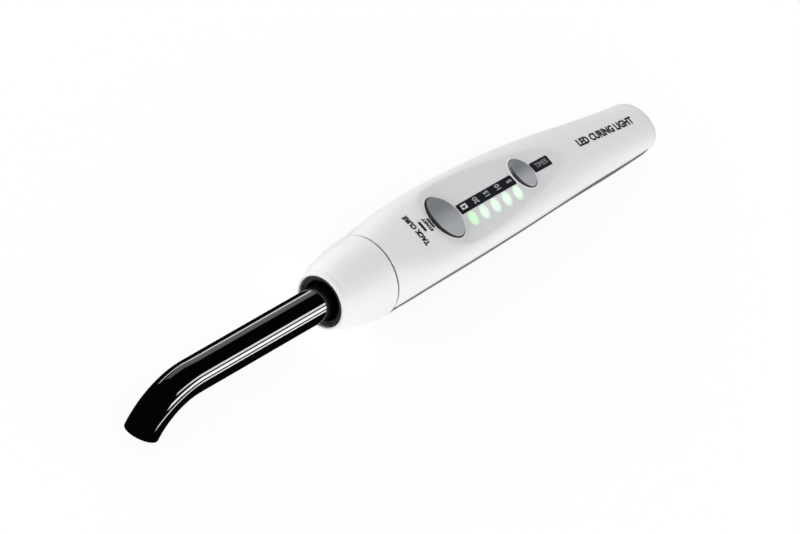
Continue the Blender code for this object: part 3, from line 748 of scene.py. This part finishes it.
def nose_cone():
    """The white sleeve with its rounded lip, and a dark band in the seam behind it, painted shade that
    darkens the seam line.
    """
    crease = [(0.3, 9.66), (1.0, 9.74), (1.9, 10.2)]
    sleeve = [(4.0, 10.95), (7.0, 11.7), (10.5, 12.35), (14.0, 12.85), (17.0, 13.15)]
    outer = crease + sleeve + [(SEAM_X - 0.6, SEAM_R - 0.02)]
    lip = [(-0.3, 8.3), (-0.66, 8.36), (-0.82, 8.6), (-0.72, 8.95), (-0.4, 9.4)]
    edge = arc((SEAM_X - 0.58, SEAM_R - 0.32), 0.3, 80, 0, 6)
    back = [(SEAM_X - 0.28, 11.3), (SEAM_X + 0.1, 11.2), (25, 11.2), (25, 9.4), (18.6, 9.4), (17.5, 8.3)]
    profile = curve_through(lip, 5) + curve_through(outer, 8) + edge + back
    turned("nose_cone_skin", "casing_white", "handpiece", profile, ["nose_cone"], steps=160)
    # Painted shade: a dark ring fills the seam gap so the seam line reads dark.
    band_start, band_end = SEAM_X - 0.3, BODY_START_X + 0.02
    band = [(band_start, 11.0), (band_start, 12.9), (band_end, 12.9), (band_end, 11.0)]
    turned("seam_shade_band", "rubber_dark", "handpiece", band, steps=160)


def socket():
    """The grooved black socket, and the ring in it that the guide sits in."""
    front = arc((-0.25, 7.78), 0.22, 90, 180, 5) + arc((-0.27, 7.6), 0.2, 180, 250, 4)
    profile = [(14.2, 6.4), (14.2, 8.0)] + front
    for x in (-0.3, -0.19, -0.08, 0.03):
        r = 7.4 - 1.7 * (x + 0.3)
        profile += [(x, r), (x + 0.07, r - 0.03), (x + 0.05, r - 0.09), (x + 0.09, r - 0.15)]
    profile += [(0.16, 6.66), (0.4, 6.62), (0.62, 6.68), (0.64, 7.05), (13.2, 7.1), (13.2, 6.4)]
    turned("socket_insert_skin", "socket_black", "handpiece", profile, ["socket_insert"], steps=128)
    ring = [(12.9, 6.35), (12.9, 6.85)] + arc((1.95, 6.6), 0.25, 90, 180, 4)
    ring += [(1.75, 6.5), (3.2, 6.38), (3.6, 6.35)]
    turned("seat_ring_skin", "seat_black", "seat", ring, ["seat_ring"], steps=128)


def guide_path(straight_steps=12, bend_steps=44):
    """Points and directions along the guide, from its plug end to its tip, with the bend turned to rest."""
    turn = Matrix.Rotation(-GUIDE_REST_TURN, 3, "X")
    found = []
    for i in range(straight_steps + 1):
        x = GUIDE_PLUG_X + (GUIDE_STRAIGHT_X - GUIDE_PLUG_X) * i / straight_steps
        found.append((Vector((x, 0, 0)), Vector((-1, 0, 0))))
    for i in range(1, bend_steps + 1):
        a = GUIDE_BEND * i / bend_steps
        place = Vector((GUIDE_STRAIGHT_X - GUIDE_BEND_R * math.sin(a), 0, -GUIDE_BEND_R * (1 - math.cos(a))))
        found.append((turn @ place, turn @ Vector((-math.cos(a), 0, -math.sin(a)))))
    return found


def guide_ring(centre, direction, radius, steps=96):
    across = Matrix.Rotation(-GUIDE_REST_TURN, 3, "X") @ Vector((0, 1, 0))
    up = across.cross(direction)
    angles = [math.tau * i / steps for i in range(steps)]
    return [centre + across * (radius * math.sin(a)) + up * (radius * math.cos(a)) for a in angles]


def light_guide():
    path = guide_path()
    end, way = path[-1]
    rings = [guide_ring(place, direction, GUIDE_R) for place, direction in path[:-1]]
    fillet = 0.55
    for depth, radius in arc((fillet, GUIDE_R - fillet), fillet, 90, 180, 8):
        rings.append(guide_ring(end - way * depth, way, radius))
    rings.append(guide_ring(end, way, CORE_R + 0.18))
    rings.append(guide_ring(end - way * 0.08, way, CORE_R + 0.1))
    rings += [guide_ring(place, direction, CORE_R + 0.1) for place, direction in reversed(path[:-1])]
    bm = bmesh.new()
    loft(bm, rings, loop=True)
    sheath = add_piece("guide_sheath_skin", bm, "guide_black", "light_guide", ["guide_sheath"], sharp=50)

    bm = bmesh.new()
    rings = [guide_ring(path[0][0] + Vector((0.4, 0, 0)), path[0][1], CORE_R - 0.15)]
    rings += [guide_ring(place, direction, CORE_R) for place, direction in path[:-1]]
    for depth, radius in ((0.35, CORE_R), (0.2, CORE_R - 0.05), (0.15, CORE_R - 0.2), (0.15, CORE_R * 0.5)):
        rings.append(guide_ring(end - way * depth, way, radius))
    loft(bm, rings)
    core = add_piece("guide_core_skin", bm, "guide_glass", "light_guide", ["guide_core"])

    ferrule = [(4.2, 5.7), (4.2, 5.95)] + arc((4.35, 5.95), 0.15, 180, 90, 4)
    ferrule += [(6.2, 6.1), (6.35, 5.98), (6.65, 5.98), (6.8, 6.1), (12.6, 6.1)]
    ferrule += [(12.75, 5.98), (13.0, 5.98), (13.15, 6.1)]
    ferrule += arc((13.65, 5.95), 0.15, 90, 0, 4) + [(13.8, 5.7)]
    turned("guide_ferrule_skin", "steel", "light_guide", ferrule, ["guide_ferrule"], steps=96)
    o_ring = arc((3.55, 5.85), 0.3, 0, 345, 23)
    turned("guide_o_ring_skin", "rubber_dark", "light_guide", o_ring, ["guide_o_ring"], steps=96)
    return sheath, core


# ---------------------------------------------------------------- controls


def button(name, x, axes, heights, body):
    """A domed oval cap: flared sides, a rounded shoulder, and a shallow dome."""
    (rx, ry), (edge_z, top_z) = axes, heights
    shoulder = 0.45
    floor = panel_floor(x, 0)
    profile = [(1.4, floor - 3.9), (-1.0, floor - 3.9), (-1.0, floor - 3.1), (0.0, floor - 3.1), (0.0, floor)]
    steps = 9
    for i in range(steps + 1):
        a = math.pi / 2 * i / steps
        inset = BUTTON_FLARE + shoulder * (1 - math.cos(a))
        profile.append((inset, edge_z - shoulder + shoulder * math.sin(a)))
    bm = bmesh.new()
    rings = []
    for inset, z in profile:
        lean = BUTTON_LEAN * (1 - smooth_step(floor, edge_z - shoulder, z))
        rings.append([(px, py + lean, pz) for px, py, pz in oval(rx - inset, ry - inset - lean, z, x, 120)])
    dome_steps, edge = 20, BUTTON_FLARE + shoulder
    for i in range(1, dome_steps):
        share = 1 - i / dome_steps
        z = edge_z + (top_z - edge_z) * (1 - share**2)
        rings.append(oval((rx - edge) * share, (ry - edge) * share, z, x, 120))
    for ring in rings:
        for i, (px, py, pz) in enumerate(ring):
            share = smooth_step(floor, edge_z, pz) if pz > floor else 0
            ring[i] = (px, py, pz - BUTTON_CROWN * share * (py / ry) ** 2)
    ceiling = floor - 0.3
    under = [oval((rx - 1.4) * s, (ry - 1.4) * s, ceiling, x, 120) for s in (0.5, 1.0)]
    loft(bm, under + rings)
    return add_piece(name + "_skin", bm, "button_grey", body, [name])


def button_rim(name, x, axes):
    """The rounded lip of a button's opening in the casing."""
    rx, ry = axes
    bm = bmesh.new()
    rings = []
    for out, up in arc((0.38, -0.06), 0.3, 0, 360, 20)[:-1]:
        ring = oval(rx + out, ry - BUTTON_LEAN + out, 0, x, 120)
        ring = [(px, py + BUTTON_LEAN) for px, py, _ in ring]
        rings.append([(px, py, panel_floor(px, py) + up * 0.6) for px, py in ring])
    loft(bm, rings, loop=True)
    return add_piece(name, bm, "casing_white", "handpiece")


def seal(name, x, axes):
    """The rubber skirt that closes the gap round a button."""
    (rx, ry), floor = axes, panel_floor(x, 0)
    profile = [(1.1, -2.8), (1.1, -2.0), (0.6, -1.9), (0.3, -1.5), (0.12, -1.35), (0.12, -1.55), (0.35, -2.8)]
    bm = bmesh.new()
    loft(bm, [oval(rx + out, ry + out, floor + up, x, 96) for out, up in profile], loop=True)
    return add_piece(name + "_skin", bm, "rubber_dark", "handpiece", [name])


def film(name, x0, x1, replaced):
    """A printed film in its pocket, following the panel's gentle fall."""
    corner, half, steps = 0.45, STRIP_WIDTH / 2, 40
    rows = []
    for i in range(steps + 1):
        x = x0 + (x1 - x0) * i / steps
        rows.append(x)
    xs = sorted(set(rows + [x0 + 0.04, x0 + 0.15, x0 + 0.3, x1 - 0.3, x1 - 0.15, x1 - 0.04]))
    bm = bmesh.new()
    rings = []
    for x in xs:
        near = max(corner - min(x - x0, x1 - x), 0)
        width = half - corner + math.sqrt(max(corner**2 - near**2, 1e-4))
        top = panel_floor(x, 0) + 0.02
        outline = [(-width, top - 0.3), (-width, top - 0.05), (-width + 0.05, top)]
        outline += [(-width * 0.5, top), (0, top), (width * 0.5, top)]
        outline += [(width - 0.05, top), (width, top - 0.05), (width, top - 0.3)]
        rings.append([(x, y, z) for y, z in outline])
    loft(bm, rings)
    return add_piece(name + "_skin", bm, "strip_black", "handpiece", replaced)


def split_long_edges(bm):
    """Splits flat printing finely enough to follow the curved surface it is laid on."""
    for _ in range(3):
        long_edges = [edge for edge in bm.edges if edge.calc_length() > PRINT_EDGE]
        if long_edges:
            bmesh.ops.subdivide_edges(bm, edges=long_edges, cuts=1)
            bmesh.ops.triangulate(bm, faces=bm.faces)


def print_text(name, words, size, place, along, material, lift=0.03, squeeze=1.0, weight=0.0,
               height=crown_height):
    """Raised lettering laid on the handpiece: along reads towards the rear, else it reads across."""
    curve = bpy.data.curves.new(name, "FONT")
    curve.body = words
    curve.size = size
    curve.align_x = "CENTER"
    curve.align_y = "CENTER"
    curve.extrude = PRINT_DEPTH
    curve.offset = weight
    curve.resolution_u = 3
    curve.fill_mode = "BOTH"
    letters = bpy.data.objects.new(name + "_curve", curve)
    bpy.context.scene.collection.objects.link(letters)
    bpy.context.view_layer.update()
    graph = bpy.context.evaluated_depsgraph_get()
    mesh = bpy.data.meshes.new_from_object(letters.evaluated_get(graph))
    bpy.data.objects.remove(letters)
    bm = bmesh.new()
    bm.from_mesh(mesh)
    bmesh.ops.triangulate(bm, faces=bm.faces)
    split_long_edges(bm)
    for vertex in bm.verts:
        u, v, w = vertex.co.x * squeeze, vertex.co.y, vertex.co.z
        x, y = (place[0] + u, place[1] + v) if along else (place[0] - v, place[1] + u)
        vertex.co = (x, y, height(x, y) + lift + w)
    return add_piece(name, bm, material, "handpiece")


def print_bar(name, low, high, material, lift=0.03, height=crown_height, corners=None):
    """A printed bar, or a printed shape with the given corners, laid on the handpiece."""
    corners = corners or [(low[0], low[1]), (high[0], low[1]), (high[0], high[1]), (low[0], high[1])]
    bm = bmesh.new()
    face = bm.faces.new([bm.verts.new((x, y, 0)) for x, y in corners])
    bmesh.ops.triangulate(bm, faces=[face])
    split_long_edges(bm)
    top = bmesh.ops.extrude_face_region(bm, geom=list(bm.faces), use_keep_orig=True)
    raised = [item for item in top["geom"] if isinstance(item, bmesh.types.BMVert)]
    bmesh.ops.translate(bm, vec=(0, 0, 2 * PRINT_DEPTH), verts=raised)
    for vertex in bm.verts:
        x, y, w = vertex.co
        vertex.co = (x, y, height(x, y) + lift - PRINT_DEPTH + w)
    return add_piece(name, bm, material, "handpiece")


def film_height(x, _):
    """Height of the display films' upper surface, which is level from side to side."""
    return panel_floor(x, 0) + 0.02


def printing():
    """All the words, numbers and marks on the handpiece."""
    ink = printed("ink_black", (0.012, 0.012, 0.014))
    pale = printed("ink_pale", (0.55, 0.57, 0.6))
    white = printed("ink_white", (0.85, 0.87, 0.9))
    pale_dim = printed("ink_dim", (0.3, 0.32, 0.35))
    for i, number in enumerate(("20", "15", "10", "5")):
        x = INDICATOR_X + INDICATOR_PITCH * (i + 1) + 0.3
        print_text(f"number_{number}", number, 2.9, (x, 0.1), False, pale, height=film_height,
                   squeeze=0.8, weight=0.03)
    x, y = ICON_PLACE
    print_bar("mode_icon", (x - 1.25, y - 0.85), (x + 1.25, y + 0.85), white, height=film_height)
    print_bar("mode_icon_mark", None, None, MATERIALS["strip_black"], height=film_height, lift=0.06,
              corners=[(x - 1.1, y + 0.2), (x - 0.1, y - 0.7), (x + 0.85, y + 0.35)])
    print_text("timer_word", "TIMER", 2.6, ((LABEL_X[0] + LABEL_X[1]) / 2 + 0.3, 0), True, pale_dim,
               height=film_height, squeeze=0.85)
    print_bar("mark_rear", (43.1, -1.1), (44.1, 2.4), ink, lift=0.12)
    print_bar("mark_front", (38.5, -1.1), (39.5, 2.4), ink, lift=0.1)
    print_text("start_word", "START", 1.8, (41.7, 0.5), False, ink, lift=0.05, squeeze=0.92, weight=0.1)
    print_text("mode_word", "TACK CURE", 2.55, (36.2, 0.6), False, ink, lift=0.05, squeeze=0.83, weight=0.13)
    print_text("handpiece_words", "LED CURING LIGHT", 3.6, (132.6, 0.3), True, ink, lift=0.05, weight=0.13)


def belly_parts():
    """The charging contacts and screws, set into the belly."""
    for place, x in CONTACT_XS.items():
        bm = bmesh.new()
        pin = [(1.6, -10.4), (1.6, BELLY_Z + 0.75), (1.45, BELLY_Z + 0.4)]
        pin += [(1.05, BELLY_Z + 0.16), (0.5, BELLY_Z + 0.1)]
        loft(bm, upright_rings(pin, 48, (x, 0)))
        name = "charging_contact_" + place
        add_piece(name + "_skin", bm, "gold_contact", "handpiece", [name])
    for place, x in SCREW_XS.items():
        screw(place, x)


def screw(place, x):
    """A cap screw with a chamfered head and a hexagon socket."""
    z_head, seat_z = BELLY_Z + 0.4, -11.55
    top = station(x)[2] - WALL - 3.5
    name = "casing_screw_" + place
    shank = [(1.05, top), (1.05, seat_z)]
    outer = shank + [(2.2, seat_z), (2.2, z_head + 0.3), (2.1, z_head + 0.08), (1.95, z_head)]
    bm = bmesh.new()
    loft(bm, upright_rings(outer, 48, (x, 0)))
    piece = add_piece(name + "_skin", bm, "steel", "handpiece", [name])
    bm = bmesh.new()
    loft(bm, upright_rings([(1.0, z_head - 1), (1.0, z_head + 0.8)], 6, (x, 0)))
    cut_away(piece, bm)


# ---------------------------------------------------------------- stage


def area_light(name, place, aim, size, power, colour=(1, 1, 1), along=None, only=None, diffuse=True,
               glossy=True):
    """A rectangular soft light that faces aim. along is the direction of its first side."""
    light = bpy.data.lights.new(name, "AREA")
    light.shape = "RECTANGLE"
    light.size, light.size_y = size
    light.energy = power
    light.color = colour
    obj = bpy.data.objects.new(name, light)
    bpy.context.scene.collection.objects.link(obj)
    back = (Vector(place) - Vector(aim)).normalized()
    side = Vector(along) if along else Vector((0, 0, 1)).cross(back)
    side = (side - back * side.dot(back)).normalized()
    turn = Matrix((side, back.cross(side), back)).transposed().to_4x4()
    obj.matrix_world = Matrix.Translation(place) @ turn
    obj.visible_diffuse = diffuse
    obj.visible_glossy = glossy
    if only:
        obj.light_linking.receiver_collection = only
    return obj


def guide_lights(pieces):
    """Long strip lights whose reflections run along the glossy guide."""
    group = bpy.data.collections.new("guide_only")
    for piece in pieces:
        group.objects.link(piece)
    centre = ORIGIN + Vector((-28, 0, 0)) * MM
    back = Vector(CAMERA_RIGHT).cross(Vector(CAMERA_UP))
    facing = Vector((0, back.y, back.z)).normalized()
    side = Vector((1, 0, 0)).cross(facing)
    distance, length = 0.6, 1.0
    spread = math.sqrt(1 - back.x**2)
    strips = (
        ("strip_low", 26, 12, 15.0), ("strip_middle", 49, 16, 20.0), ("strip_high", 70.5, 9, 13.0),
        ("strip_far_edge", -102, 11, 6.5), ("strip_far", -79, 34, 1.5),
    )
    for name, turn, width, radiance in strips:
        a = math.radians(turn)
        direction = Vector((-back.x, 0, 0)) + (facing * math.cos(a) + side * math.sin(a)) * spread
        size = (length, 2 * distance * spread * math.tan(math.radians(width) / 2))
        power = radiance * math.pi * size[0] * size[1]
        area_light(name, centre + direction * distance, centre, size, power, along=(1, 0, 0), only=group,
                   diffuse=False)


def body_lights(guide_pieces):
    """Broad soft lights for everything but the glossy guide."""
    group = bpy.data.collections.new("all_but_guide")
    for obj in bpy.context.scene.objects:
        if obj.type == "MESH" and obj.name != "floor" and obj not in guide_pieces:
            group.objects.link(obj)
    centre = Vector((0, 0, 0.013))
    panels = (
        ("key", (0.25, -0.85, 0.5), (1.6, 1.0), 1.15), ("rim", (-0.1, 1, 0.2), (3.0, 1.4), 1.15),
        ("front", (-1, -0.1, 0.25), (1.2, 0.9), 0.5), ("under", (0.1, -0.2, -1), (2.0, 1.4), 0.9),
    )
    for name, direction, size, radiance in panels:
        place = centre + Vector(direction).normalized() * 1.5
        area_light(name, place, centre, size, radiance * math.pi * size[0] * size[1], only=group)


def stage(guide_pieces):
    world = bpy.data.worlds.new("studio")
    bpy.context.scene.world = world
    world.use_nodes = True
    nodes = Nodes(world.node_tree)
    background = world.node_tree.nodes["Background"]
    background.inputs["Color"].default_value = (1, 1, 1, 1)
    height = nodes.add("SeparateXYZ")
    nodes.link(nodes.add("TexCoord").outputs["Generated"], height.inputs[0])
    shade = nodes.ramp(height.outputs[2], 0.25, 0.65, 1.5, 0.37, smooth=True)
    nodes.link(shade, background.inputs["Strength"])
    world.cycles_visibility.glossy = False

    bm = bmesh.new()
    bmesh.ops.create_grid(bm, x_segments=8, y_segments=8, size=6)
    mesh = bpy.data.meshes.new("floor")
    bm.to_mesh(mesh)
    bm.free()
    floor = bpy.data.objects.new("floor", mesh)
    bpy.context.scene.collection.objects.link(floor)
    floor.location.z = -0.0004
    material, nodes, shader = new_material("floor_white")
    shader.inputs["Base Color"].default_value = (0.2, 0.2, 0.2, 1)
    shader.inputs["Roughness"].default_value = 1.0
    shader.inputs["Specular IOR Level"].default_value = 0.0
    shader.inputs["Emission Color"].default_value = (1, 1, 1, 1)
    shader.inputs["Emission Strength"].default_value = 0.88
    mesh.materials.append(material)
    floor.visible_glossy = False

    guide_lights(guide_pieces)
    body_lights(guide_pieces)


def add_camera():
    camera = bpy.data.cameras.new("camera")
    camera.lens = CAMERA_LENS
    camera.sensor_width = 36
    camera.clip_start, camera.clip_end = 0.05, 30
    obj = bpy.data.objects.new("camera", camera)
    bpy.context.scene.collection.objects.link(obj)
    right, up = Vector(CAMERA_RIGHT), Vector(CAMERA_UP)
    turn = Matrix((right, up, right.cross(up))).transposed().to_4x4()
    obj.matrix_world = Matrix.Translation(ORIGIN + Vector(CAMERA_PLACE)) @ turn
    bpy.context.scene.camera = obj


# ---------------------------------------------------------------- the whole light

MATERIALS = make_materials()
SLOTS = {entry["node"]: entry["material_slot"] for entry in frame["record"]["subparts"]}
for node_name, node in frame["nodes"].items():
    node.data.materials.clear()
    node.data.materials.append(MATERIALS[SLOTS[node_name]])

add_camera()
upper_casing()
lower_casing()
nose_cone()
socket()
guide_pieces = light_guide()
button("start_button", START_X, START_AXES, START_TOP, "start")
button("timer_button", TIMER_X, TIMER_AXES, TIMER_TOP, "timer")
button_rim("start_rim", START_X, START_AXES)
button_rim("timer_rim", TIMER_X, TIMER_AXES)
seal("start_seal", START_X, START_AXES)
seal("timer_seal", TIMER_X, TIMER_AXES)
film("display_strip", *STRIP_X, ["display_strip"])
film("timer_label", *LABEL_X, ["timer_label"])
printing()
belly_parts()
stage(guide_pieces)
bpy.context.scene.view_settings.view_transform = "Standard"
